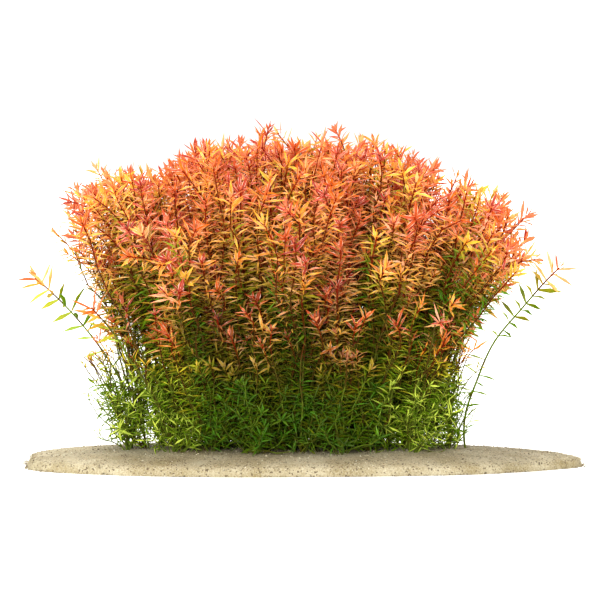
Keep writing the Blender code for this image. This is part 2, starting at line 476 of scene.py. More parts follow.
@dataclass(frozen=True)
class Template:
    """A small closed shape that is stamped many times.

    Attributes:
        points: Corner positions, one row each.
        triangles: Point numbers, three to a face.
    """

    points: np.ndarray
    triangles: np.ndarray

    @classmethod
    def from_bmesh(cls, bm: bmesh.types.BMesh) -> "Template":
        """Reads a bmesh as triangles facing outwards, and frees it.

        Args:
            bm: The shape.

        Returns:
            Its template.
        """
        bmesh.ops.triangulate(bm, faces=bm.faces)
        bmesh.ops.recalc_face_normals(bm, faces=bm.faces)
        bm.verts.index_update()
        points = np.array([vert.co for vert in bm.verts])
        triangles = np.array([[vert.index for vert in face.verts] for face in bm.faces])
        bm.free()
        return cls(points, triangles)

    @classmethod
    def ringed(cls, sides: int, rings: Sequence[Span], ends: Span) -> "Template":
        """A closed spindle along Y, made of rings drawn out one from the other.

        Args:
            sides: Corners of each ring.
            rings: Place along Y and radius of each ring.
            ends: Places along Y of the two end points.

        Returns:
            The spindle, one unit in radius where a ring's radius is 1.
        """
        bm = bmesh.new()
        ring, edges = capped_ring(bm, sides)
        bmesh.ops.rotate(bm, verts=ring, matrix=TO_Y)
        first_cap = bm.faces[:]
        reached, width = 0.0, 1.0
        for index, (place, radius) in enumerate(rings):
            if index:
                ring, edges = next_ring(bm, edges)
            bmesh.ops.translate(bm, verts=ring, vec=Vector((0, place - reached, 0)))
            grow = radius / width
            bmesh.ops.scale(bm, verts=ring, vec=Vector((grow, 1, grow)))
            reached, width = place, radius
        last_cap = bmesh.ops.contextual_create(bm, geom=edges)["faces"]
        for cap, end in ((first_cap, ends[0]), (last_cap, ends[1])):
            bmesh.ops.poke(bm, faces=cap)["verts"][0].co.y = end
        return cls.from_bmesh(bm)


@dataclass
class Batch:
    """Stamped shapes gathered into one mesh.

    Attributes:
        points: Positions, one array a stamp, as in the others.
        triangles: Point numbers of the faces.
        maps: Place on the leaf of each face's corners.
        growth: Ripeness, tint, and freshness with painted light and shade, of each point.
        under: Whether each face is an underside.
        slots: Material slot of each face.
        count: Points so far.
    """

    points: list[np.ndarray] = field(default_factory=list)
    triangles: list[np.ndarray] = field(default_factory=list)
    maps: list[np.ndarray] = field(default_factory=list)
    growth: list[np.ndarray] = field(default_factory=list)
    under: list[np.ndarray] = field(default_factory=list)
    slots: list[np.ndarray] = field(default_factory=list)
    count: int = 0

    def add(
        self,
        template: Template,
        points: np.ndarray,
        growth: np.ndarray,
        slot: int,
        maps: np.ndarray | None = None,
        under: np.ndarray | None = None,
    ) -> None:
        """Adds copies of a template.

        Args:
            template: Shape that the copies share.
            points: Positions, copies by points by 3.
            growth: Ripeness, tint, and freshness with painted light and shade, copies by points by 3.
            slot: Material slot of the copies.
            maps: Place of each point on the leaf, points by 2.
            under: Whether each of the template's faces is the leaf's underside.
        """
        copies, corners = points.shape[:2]
        faces = len(template.triangles)
        starts = self.count + corners * np.arange(copies)
        self.points.append(points.reshape(-1, 3))
        self.growth.append(growth.reshape(-1, 3))
        self.triangles.append((template.triangles[None] + starts[:, None, None]).reshape(-1, 3))
        flat = np.zeros((corners, 2)) if maps is None else maps
        self.maps.append(np.tile(flat[template.triangles].reshape(-1, 2), (copies, 1)))
        self.under.append(np.tile(np.zeros(faces) if under is None else under, copies))
        self.slots.append(np.full(copies * faces, slot))
        self.count += copies * corners

    def piece(
        self, name: str, materials: Sequence[bpy.types.Material], crease: float
    ) -> bpy.types.Object:
        """Makes the gathered shapes one object.

        Args:
            name: Name of the piece.
            materials: Its material slots.
            crease: Angle in degrees past which an edge stays sharp.

        Returns:
            The object, in the scene, with its place in its mesh.
        """
        mesh = bpy.data.meshes.new(name)
        faces = sum(len(rows) for rows in self.triangles)
        mesh.vertices.add(self.count)
        mesh.loops.add(3 * faces)
        mesh.polygons.add(faces)
        mesh.polygons.foreach_set("loop_start", 3 * np.arange(faces, dtype=np.int32))
        for data, key, rows, kind in (
            (mesh.vertices, "co", self.points, np.float32),
            (mesh.loops, "vertex_index", self.triangles, np.int32),
            (mesh.polygons, "material_index", self.slots, np.int32),
        ):
            data.foreach_set(key, np.concatenate(rows).astype(kind).ravel())
        mesh.update(calc_edges=True)
        leaf = mesh.uv_layers.new(name="leaf").data
        leaf.foreach_set("uv", np.concatenate(self.maps).astype(np.float32).ravel())
        for label, kind, part, key, rows in (
            ("growth", "FLOAT_VECTOR", "POINT", "vector", self.growth),
            ("underside", "FLOAT", "FACE", "value", self.under),
        ):
            data = mesh.attributes.new(label, kind, part).data
            data.foreach_set(key, np.concatenate(rows).astype(np.float32).ravel())
        for material in materials:
            mesh.materials.append(material)
        mesh.shade_smooth()
        mesh.set_sharp_from_angle(angle=math.radians(crease))
        return linked(name, mesh)


@dataclass(frozen=True)
class Traits:
    """What sets one shoot apart from the others.

    Attributes:
        ripeness: Ripeness that its leaves have beyond the usual.
        tint: From 0, golden, through red to 1, pink.
        vigour: Length of its leaves, as a share of the usual.
        breadth: Width of its leaves, as a share of the usual.
        shade: How dark the painted shade on its leaves is inside the clump, from 0 to 1.
    """

    ripeness: float
    tint: float
    vigour: float
    breadth: float
    shade: float

    # The greener shoots, and how far each trait differs
    GREEN_SHARE = 0.2
    GREENER = -0.27
    RIPENESS_VARIED = 0.1
    GREEN_TINT = 0.3
    VIGOUR = (0.8, 1.12)
    BREADTH = (0.72, 1.35)
    MAIN_VARIED = 0.3
    LIGHTER, LIGHTER_POWER = 0.8, 2.5

    @classmethod
    def drawn(cls, main: bool, draw: Draw) -> "Traits":
        """Draws the traits of a shoot.

        Args:
            main: Whether it is its stem's main shoot, whose leaves differ less in width.
            draw: Source of random values.

        Returns:
            The traits.
        """
        green = draw.uniform(0, 1) < cls.GREEN_SHARE
        return cls(
            ripeness=draw.normal(cls.GREENER if green else 0.0, cls.RIPENESS_VARIED),
            tint=draw.uniform(0, 1) * (cls.GREEN_TINT if green else 1.0),
            vigour=draw.uniform(*cls.VIGOUR),
            breadth=1 + (cls.MAIN_VARIED if main else 1.0) * (draw.uniform(*cls.BREADTH) - 1),
            shade=1 - cls.LIGHTER * draw.uniform(0, 1) ** cls.LIGHTER_POWER,
        )


@dataclass(frozen=True)
class Habit:
    """The bunch of shoots that grows from one planted stem.

    Attributes:
        shoots: Side shoots that reach the clump's surface beside the main one.
        more_at_ends: Side shoots that a stem at the clump's ends has beyond those.
        fillers: Shorter shoots that keep the clump's sides leafy.
        ground: Shortest shoots, from the foot, that cover the sand between the feet.
        spacing: Distance between leaf pairs away from the tips.
        spread: Radius of the disc that the shoots' tips fill.
        depths: Least and most share of the crown that a side shoot reaches.
        forks: Lowest and highest fork, as shares of the main shoot.
        bud: Height of the leaves beyond the end of the main shoot's stem.
        slot: Name meant for its material slot; it is not used.
        greener: Ripeness that its leaves lack away from the tips.
        paler: How much of the pale young colour its leaves take away from the tips.
        breadth: Width of its grown leaves, as a share of the usual.
        longer: Length of its leaves, as a share of the usual.
        turned: How far its leaves turn about their own length, so that their faces show from the side.
        twist: How much that differs from leaf to leaf.
        sway: Slight bends of its shoots, as a share of the usual.
        bare: Share of the main shoot that carries no leaves, from its foot.
        alone: Whether it stands clear of the clump, so that each of its leaves shows.
    """

    shoots: int
    more_at_ends: int
    fillers: int
    ground: int
    spacing: float
    spread: float
    depths: Span
    forks: Span
    bud: float
    slot: str
    greener: float = 0.0
    paler: float = 0.0
    breadth: float = 1.0
    longer: float = 1.0
    turned: float = 0.0
    twist: float = 0.28
    sway: float = 1.0
    bare: float = 0.0
    alone: bool = False


class Growth(Enum):
    """How a planted stem grows, by the part of its node's name before the number."""

    CANOPY = "canopy_stem"
    SKIRT = "skirt_stem"
    ARCHING = "arching_stem"


HABITS = {
    Growth.CANOPY: Habit(
        shoots=16,
        more_at_ends=7,
        fillers=18,
        ground=5,
        spacing=3.1 * MM,
        spread=35 * MM,
        depths=(0.74, 0.98),
        forks=(0.08, 0.75),
        bud=20 * MM,
        slot="crown foliage",
    ),
    Growth.SKIRT: Habit(
        shoots=9,
        more_at_ends=4,
        fillers=8,
        ground=5,
        spacing=3.3 * MM,
        spread=30 * MM,
        depths=(0.6, 1.0),
        forks=(0.06, 0.5),
        bud=10 * MM,
        slot="low foliage",
        greener=0.08,
    ),
    Growth.ARCHING: Habit(
        shoots=0,
        more_at_ends=0,
        fillers=0,
        ground=0,
        spacing=7.0 * MM,
        spread=14 * MM,
        depths=(0.85, 1.0),
        forks=(0.66, 0.85),
        bud=9 * MM,
        slot="crown foliage",
        greener=0.08,
        paler=0.6,
        breadth=2.1,
        longer=1.3,
        turned=1.8,
        twist=0.2,
        sway=0.35,
        bare=0.1,
        alone=True,
    ),
}


@dataclass(frozen=True)
class LeafPlaces:
    """Where the leaves of one shoot sit, one value a leaf.

    Attributes:
        from_tip: Distance from the shoot's tip.
        height: Height of its foot.
        low: How near the sand it is, from 0 to 1.
        young: How young it is, from 0 to 1.
        outer: How far out it is along the clump, as a share of the foot's half length.
    """

    from_tip: np.ndarray
    height: np.ndarray
    low: np.ndarray
    young: np.ndarray
    outer: np.ndarray


@dataclass(frozen=True)
class LeafBlade:
    """The lance-shaped leaf, with its full size and how it changes with its age on the shoot.

    Attributes:
        young_width: Half of its full width near the tip of the shoot.
        old_width: The same where it has grown old.
        fold: Rise of its margins as a share of the half width.
        rings: Place and half width of each ring of the fine template.
        widest: Place of its greatest width.
        growing: Distance from the shoot's tip over which it reaches its size.
        ageing: Distance over which it narrows.
        bud_length: Length in the bud, as a share of the full one.
        bud_width: The same for the width.
        old_shorter: Length that an old leaf lacks, as a share.
        low_shorter: Length that a leaf near the sand lacks.
        low_narrower: Width that a leaf near the sand lacks.
        low_young_narrower: Width that a young leaf near the sand lacks.
        low_young_kept: How far a young leaf is spared that narrowing.
        droop: Angles in degrees of the bend down, of any leaf, an old one and a low one.
        rise: Angles in degrees above level, of any leaf, near the tip and in the bud.
        rise_reach: Distances from the tip over which the last two fade.
        length_varied: How much the length differs from leaf to leaf, as a share, as in the next two.
        droop_varied: How much the bend differs, in degrees, as in the next one.
        round_varied: How much its place round the stem differs, in radians.
    """

    length: float = 17 * MM
    young_width: float = 1.75 * MM
    old_width: float = 0.85 * MM
    thickness: float = 0.28 * MM
    fold: float = 0.42
    rings: tuple[Span, ...] = ((0.07, 0.45), (0.5, 0.95))
    widest: float = 0.42
    growing: float = 3 * MM
    ageing: float = 11 * MM
    bud_length: float = 0.45
    bud_width: float = 0.6
    old_shorter: float = 0.1
    low_shorter: float = 0.2
    low_narrower: float = 0.35
    low_young_narrower: float = 0.3
    low_young_kept: float = 0.6
    droop: tuple[float, float, float] = (4, 12, 14)
    rise: tuple[float, float, float] = (18, 16, 28)
    rise_reach: Span = (30 * MM, 3.5 * MM)
    length_varied: float = 0.13
    width_varied: float = 0.14
    fold_varied: float = 0.2
    droop_varied: float = 12
    rise_varied: float = 10
    round_varied: float = 0.16

    STRAIGHTEST = 1e-3

    def templates(self) -> tuple[Template, Template, Template]:
        """Shapes the leaf from its foot at 0 to its tip at 1.

        Returns:
            A fine spindle, a plain one, and a keeled sliver for where little of a leaf shows.
        """
        plain = bmesh.new()
        bmesh.ops.create_uvsphere(plain, u_segments=4, v_segments=2, radius=1.0)
        bmesh.ops.rotate(plain, verts=plain.verts, matrix=TO_Y)
        for vert in plain.verts:
            vert.co.y = (0.0, self.widest, 1.0)[round(vert.co.y) + 1]
        sliver = bmesh.new()
        bmesh.ops.create_cone(sliver, segments=3, radius1=1.0, radius2=0.0, depth=1.0, cap_ends=True)
        corners = sorted(sliver.verts, key=lambda vert: (vert.co.z, vert.co.x))
        places = ((-1, self.widest, 0.5), (0, 0, -0.5), (1, self.widest, 0.5), (0, 1, -0.5))
        for vert, place in zip(corners, places):
            vert.co = place
        fine = Template.ringed(sides=4, rings=self.rings, ends=(0.0, 1.0))
        return fine, Template.from_bmesh(plain), Template.from_bmesh(sliver)

    def undersides(self, shape: Template) -> np.ndarray:
        """Tells a template's undersides from its upper sides.

        Args:
            shape: The leaf's template.

        Returns:
            1 for each face that faces down and 0 for each that faces up.
        """
        folded = shape.points + UPRIGHT / 2 * np.abs(shape.points[:, :1])
        first, second, third = (folded[shape.triangles[:, corner]] for corner in range(3))
        return (np.cross(second - first, third - first)[:, 2] < 0).astype(float)

    def axes(
        self, shoot: "Shoot", from_tip: np.ndarray, habit: Habit, draw: Draw
    ) -> tuple[np.ndarray, np.ndarray]:
        """Places the leaves of a shoot in crossed pairs.

        Args:
            shoot: The shoot that carries them.
            from_tip: Distance of each leaf from its tip.
            habit: How it grows.
            draw: Source of random values.

        Returns:
            Each leaf's foot, and its three axes: across, along and up.
        """
        count = len(from_tip)
        centres, along = shoot.at(shoot.length - from_tip)
        first, second = across_frame(along)
        pair = np.arange(count) // 2
        angle = draw.uniform(0, FULL_TURN) + pair * FULL_TURN / 4 + np.arange(count) % 2 * math.pi
        angle = angle + draw.normal(0, self.round_varied, count)
        outward = np.cos(angle)[:, None] * first + np.sin(angle)[:, None] * second
        usual, near, budding = self.rise
        near_reach, bud_reach = self.rise_reach
        rise = usual + near * np.exp(-from_tip / near_reach) + budding * np.exp(-from_tip / bud_reach)
        rise = np.radians(rise + draw.normal(0, self.rise_varied, count))
        pointing = unit(np.cos(rise)[:, None] * outward + np.sin(rise)[:, None] * along)
        level = unit(np.cross(pointing, along))
        turned = level + habit.turned * np.cross(level, pointing)
        across = unit(turned + draw.normal(0, habit.twist, (count, 3)))
        up = np.cross(across, pointing)
        return centres, np.stack([np.cross(pointing, up), pointing, up], axis=1)

    def sizes(self, leaves: LeafPlaces, habit: Habit, traits: Traits, draw: Draw) -> np.ndarray:
        """Sizes the leaves of a shoot.

        Args:
            leaves: Where they sit.
            habit: How the shoot's stem grows.
            traits: What sets the shoot apart.
            draw: Source of random values.

        Returns:
            Rows of length, half width, bend down in radians and fold.
        """
        count, low, young = len(leaves.from_tip), leaves.low, leaves.young
        grown = 1 - np.exp(-leaves.from_tip / self.growing)
        size = self.length * (self.bud_length + (1 - self.bud_length) * grown)
        size = size * (1 - self.old_shorter * (1 - young) - self.low_shorter * low)
        size = size * habit.longer * traits.vigour * draw.normal(1, self.length_varied, count)
        old = self.old_width * habit.breadth
        width = old + (self.young_width - old) * young * (1 - self.low_young_narrower * low)
        width = width * (1 - self.low_narrower * low * (1 - self.low_young_kept * young))
        width = width * traits.breadth * (self.bud_width + (1 - self.bud_width) * grown)
        width = width * draw.normal(1, self.width_varied, count)
        usual, aged, lowered = self.droop
        droop = usual + aged * (1 - young) + lowered * low
        droop = np.radians(droop + draw.normal(0, self.droop_varied, count))
        fold = self.fold * draw.normal(1, self.fold_varied, count)
        return np.stack([size, width, droop, fold])

    def bent(self, shape: Template, sizes: np.ndarray) -> np.ndarray:
        """Bends copies of the flat leaf.

        Args:
            shape: The leaf's template.
            sizes: Rows of length, half width, bend down and fold, one value a copy.

        Returns:
            Positions in each leaf's own frame, copies by points by 3: across, along and up.
        """
        size, width, droop, fold = sizes[:, :, None]
        across, along, up = shape.points.T[:, None]
        turn = droop * along
        bend = np.where(np.abs(droop) < self.STRAIGHTEST, self.STRAIGHTEST, droop)
        run = size * np.sin(turn) / bend
        fall = -size * (1 - np.cos(turn)) / bend
        side = width * across
        lift = fold * np.abs(side) + up * self.thickness / 2
        return np.stack([side, run + lift * np.sin(turn), fall + lift * np.cos(turn)], axis=-1)


@dataclass(frozen=True)
class Crown:
    """The surface that the clump's shoots reach: a broad dome over a narrower foot, fuller on the left.

    Attributes:
        peak: Height in its middle.
        shoulder: Height of its roof beside the middle.
        peak_ends: Distances from the middle between which the roof comes down to the shoulder.
        power: How box-like it is.
        fuller_left: What the power gains at the left end and loses at the right end.
        foot_left: Half length of its foot on the left.
        foot_right: Half length of its foot on the right.
        foot_depth: Half depth of its foot.
        overhang_left: Heights between which it widens from its foot on the left.
        overhang_right: The same on the right.
        middle: The point from which its shoots spread.
    """

    half_length: float = 208 * MM
    half_depth: float = 122 * MM
    peak: float = 262 * MM
    shoulder: float = 240 * MM
    peak_ends: Span = (68 * MM, 114 * MM)
    power: float = 6.0
    fuller_left: float = 2.0
    foot_left: float = 170 * MM
    foot_right: float = 138 * MM
    foot_depth: float = 82 * MM
    overhang_left: Span = (108 * MM, 150 * MM)
    overhang_right: Span = (122 * MM, 168 * MM)
    middle: Point = (0.0, 0.0, 40 * MM)

    DRAWING_IN_STEPS = 4

    def foot(self, points: np.ndarray) -> np.ndarray:
        """Half length of the foot on each point's side."""
        return np.where(points.T[0] < 0, self.foot_left, self.foot_right)

    def share(self, points: np.ndarray) -> np.ndarray:
        """Tells how far out points are.

        Args:
            points: Positions, one row each or a single one.

        Returns:
            Values from 0 in the middle of the foot to 1 on the surface.
        """
        x, y, z = np.abs(points).T
        left, right = smooth_step(z, *self.overhang_left), smooth_step(z, *self.overhang_right)
        widened = np.where(points.T[0] < 0, left, right)
        foot = self.foot(points)
        length = foot + (self.half_length - foot) * widened
        depth = self.foot_depth + (self.half_depth - self.foot_depth) * widened
        height = self.peak + (self.shoulder - self.peak) * smooth_step(x, *self.peak_ends)
        power = self.power - self.fuller_left * points.T[0] / self.half_length
        return ((x / length) ** power + (y / depth) ** power + (z / height) ** power) ** (1 / power)

    def facing(self, point: np.ndarray) -> np.ndarray:
        """Unit direction in which the clump's surface faces near a point."""
        return unit(point / np.square([self.half_length, self.half_depth, self.peak]))

    def drawn_in(self, point: np.ndarray, most: float) -> np.ndarray:
        """Moves a point towards the clump's middle where it is further out than a share.

        Args:
            point: The point.
            most: The share of the way out to the surface.

        Returns:
            The point's new place.
        """
        middle = np.array(self.middle)
        for _ in range(self.DRAWING_IN_STEPS):
            point = middle + (point - middle) * min(1.0, most / float(self.share(point)))
        return point


@dataclass(frozen=True)
class Ripening:
    """How the leaves turn from green to red with light and shade in the clump, and where they get painted
    shade and painted light.

    Attributes:
        heights: Heights between which grown leaves ripen.
        lit_tips: Heights of a shoot's tip between which its youngest leaves turn red.
        grown: Ripeness of grown leaves low down, and what they gain higher up.
        red: Ripeness of the youngest leaves in the light.
        green: Ripeness that the youngest leaves lack in the shade.
        rosette: Distance from the tip that is in its rosette.
        rosette_edge: How sharply the rosette ends.
        rosette_share: Share of the redness that it holds.
        neck: Distance over which the rest fades.
        shading: Distance from the tip over which a leaf comes into its shoot's own shade.
        ends: Shares of the foot's half length beyond which the clump is open to the light.
        ends_low: Heights up to which the open ends stay greener.
        ends_greener: Ripeness that leaves lack there.
        inner: Heights up to which the clump's inside reaches, where leaves get painted shade.
        inner_redder: Ripeness that rosettes gain there.
        inner_duller: Tint that leaves lack there, as a share.
        steadier_low: How much less the ripeness differs low down.
        varied: How much it differs from leaf to leaf.
        tint_varied: How much the tint differs.
        golden: Tints between which a shoot has no more golden young leaves.
        fresh_reach: Distance from the tip that a golden freshness reaches.
        freshness: Least and most of it.
        airy: How low and far out a leaf is, where painted light makes it pale.
        paleness: Least and most of that.
        least_fresh: Freshness below which a leaf gets painted shade instead.
    """

    heights: Span = (45 * MM, 200 * MM)
    lit_tips: Span = (66 * MM, 108 * MM)
    grown: Span = (0.1, 0.44)
    red: float = 1.02
    green: float = 0.1
    rosette: float = 13 * MM
    rosette_edge: float = 1.3
    rosette_share: float = 0.72
    neck: float = 40 * MM
    shading: float = 25 * MM
    ends: Span = (0.36, 0.7)
    ends_low: Span = (100 * MM, 180 * MM)
    ends_greener: float = 0.22
    inner: Span = (85 * MM, 190 * MM)
    inner_redder: float = 0.16
    inner_duller: float = 0.4
    steadier_low: float = 0.6
    varied: float = 0.09
    tint_varied: float = 0.16
    golden: Span = (0.3, 0.7)
    fresh_reach: float = 9 * MM
    freshness: Span = (0.2, 0.9)
    airy: Span = (0.08, 0.55)
    paleness: Span = (0.65, 1.0)
    least_fresh: float = 0.08

    def usual(self, height: np.ndarray, from_tip: np.ndarray, tip_height: float) -> np.ndarray:
        """How ripe a stem and its leaves usually are.

        Args:
            height: Height of each place.
            from_tip: Its distance from the shoot's tip.
            tip_height: Height of the tip.

        Returns:
            Values from about 0, green, to 1, red.
        """
        rosette = np.exp(-((from_tip / self.rosette) ** self.rosette_edge))
        neck = np.exp(-from_tip / self.neck)
        young = self.rosette_share * rosette + (1 - self.rosette_share) * neck
        lit = smooth_step(tip_height, *self.lit_tips)
        foot, gain = self.grown
        shaded = foot + gain * smooth_step(height, *self.heights)
        return shaded + young * (lit * (self.red - shaded) - self.green * (1 - lit))

    def coloured(
        self, leaves: LeafPlaces, tip_height: float, habit: Habit, traits: Traits, draw: Draw
    ) -> tuple[np.ndarray, np.ndarray]:
        """Colours the leaves of a shoot.

        Args:
            leaves: Where they sit.
            tip_height: Height of the shoot's tip.
            habit: How the shoot's stem grows.
            traits: What sets the shoot apart.
            draw: Source of random values.

        Returns:
            Ripeness, tint, and freshness that also carries painted light and painted shade, one row a
            leaf, and how airy its place is.
        """
        from_tip, height, count = leaves.from_tip, leaves.height, len(leaves.from_tip)
        beyond = smooth_step(leaves.outer, *self.ends)
        shaded = 1 - np.exp(-from_tip / self.shading)
        green = self.ends_greener * beyond * (1 - smooth_step(height, *self.ends_low))
        inside = (1 - smooth_step(height, *self.inner)) * (1 - beyond)
        ripe = self.usual(height, from_tip, tip_height) - shaded * (green + habit.greener)
        ripe += self.inner_redder * inside * leaves.young * smooth_step(tip_height, *self.lit_tips)
        steady = 1 - self.steadier_low * leaves.low
        ripe += steady * (traits.ripeness + draw.normal(0, self.varied, count))
        tint = np.clip(traits.tint + draw.normal(0, self.tint_varied, count), 0, 1)
        golden = 1 - smooth_step(traits.tint, *self.golden)
        fresh_painted_light_and_shade = np.exp(-from_tip / self.fresh_reach) * golden
        fresh_painted_light_and_shade = fresh_painted_light_and_shade * draw.uniform(*self.freshness, count) * (1 - inside)
        # Low leaves at the clump's open ends are painted pale in the young colours, as painted light; an
        # arching shoot's leaves take those colours too
        airy = smooth_step(leaves.low * beyond, *self.airy)
        paler = np.maximum(airy, habit.paler * shaded) * draw.uniform(*self.paleness, count)
        fresh_painted_light_and_shade = np.maximum(fresh_painted_light_and_shade, paler)
        # Leaves inside the clump that are not fresh get painted shade, as a freshness below 0
        fresh_painted_light_and_shade = np.where(fresh_painted_light_and_shade > self.least_fresh, fresh_painted_light_and_shade, -inside * traits.shade)
        tint = tint * (1 - self.inner_duller * inside)
        return np.stack([np.clip(ripe, 0, 1), tint, fresh_painted_light_and_shade], axis=-1), airy


@dataclass
class Shoot:
    """One shoot, a route of points from its foot to its tip.

    Attributes:
        route: The points, one row each.
        leafy_from: Distance from its foot where its leaves begin.
        spacing: Distance between leaf pairs away from its tip.
    """

    route: np.ndarray
    leafy_from: float
    spacing: float

    # The stem's tube: its rings, its corners and its radius, less on a short shoot
    STATIONS = 9
    MAIN_STATIONS = 24
    SIDES = 4
    END_CAP = 0.02
    FOOT_RADIUS = 0.78 * MM
    TIP_RADIUS = 0.5 * MM
    THINNEST = 0.6
    THICKENING = (40 * MM, 140 * MM)
    BREADTH_POWER = 0.25
    # Distances between leaf pairs, from the tip down, and the step that a direction is measured over
    FIRST_SPACING = 1.9 * MM
    SPACING_GROWTH = 1.22
    SPACING_VARIED = (0.85, 1.15)
    STEP = 0.5 * MM

    def __post_init__(self) -> None:
        """Measures the route."""
        steps = np.linalg.norm(np.diff(self.route, axis=0), axis=1)
        self.run = np.concatenate([[0.0], np.cumsum(steps)])
        self.length = float(self.run[-1])

    def at(self, distance: np.ndarray) -> tuple[np.ndarray, np.ndarray]:
        """Finds places on the shoot.

        Args:
            distance: Distances from its foot.

        Returns:
            Their positions and the unit directions of the shoot there.
        """
        low = np.clip(distance - self.STEP, 0, self.length - self.STEP)
        here, before, after = (
            np.stack([np.interp(d, self.run, axis) for axis in self.route.T], axis=-1)
            for d in (distance, low, low + self.STEP)
        )
        return here, unit(after - before)

    def nodes(self, draw: Draw) -> np.ndarray:
        """Spaces the leaf pairs, close together near the tip.

        Args:
            draw: Source of random values.

        Returns:
            Their distances from the tip.
        """
        found, reached, spacing = [], 0.0, self.FIRST_SPACING
        while self.length - reached > self.leafy_from:
            found.append(reached)
            reached += spacing * draw.uniform(*self.SPACING_VARIED)
            spacing = min(self.spacing, spacing * self.SPACING_GROWTH)
        return np.array(found)

    @classmethod
    def tube_templates(cls) -> list[Template]:
        """Makes closed tubes along Y from 0 to 1.

        Returns:
            One for the main shoots and a plainer one for the others.
        """
        rows = [np.linspace(0, 1, count) for count in (cls.MAIN_STATIONS, cls.STATIONS)]
        ends = (-cls.END_CAP, 1 + cls.END_CAP)
        return [Template.ringed(cls.SIDES, [(float(p), 1.0) for p in row], ends) for row in rows]

    def tube(self, shape: Template, breadth: float) -> np.ndarray:
        """Shapes the shoot's stem.

        Args:
            shape: Template of a tube.
            breadth: Width of its leaves, as a share of the usual.

        Returns:
            Positions of the template's points along the route.
        """
        around, place, up = shape.points.T
        share = np.clip(place, 0, 1)
        centres, along = self.at(share * self.length)
        first, second = across_frame(along)
        thick = self.THINNEST + (1 - self.THINNEST) * smooth_step(self.length, *self.THICKENING)
        radius = self.FOOT_RADIUS + (self.TIP_RADIUS - self.FOOT_RADIUS) * share
        radius *= breadth**self.BREADTH_POWER * thick
        return centres + radius[:, None] * (around[:, None] * first - up[:, None] * second)


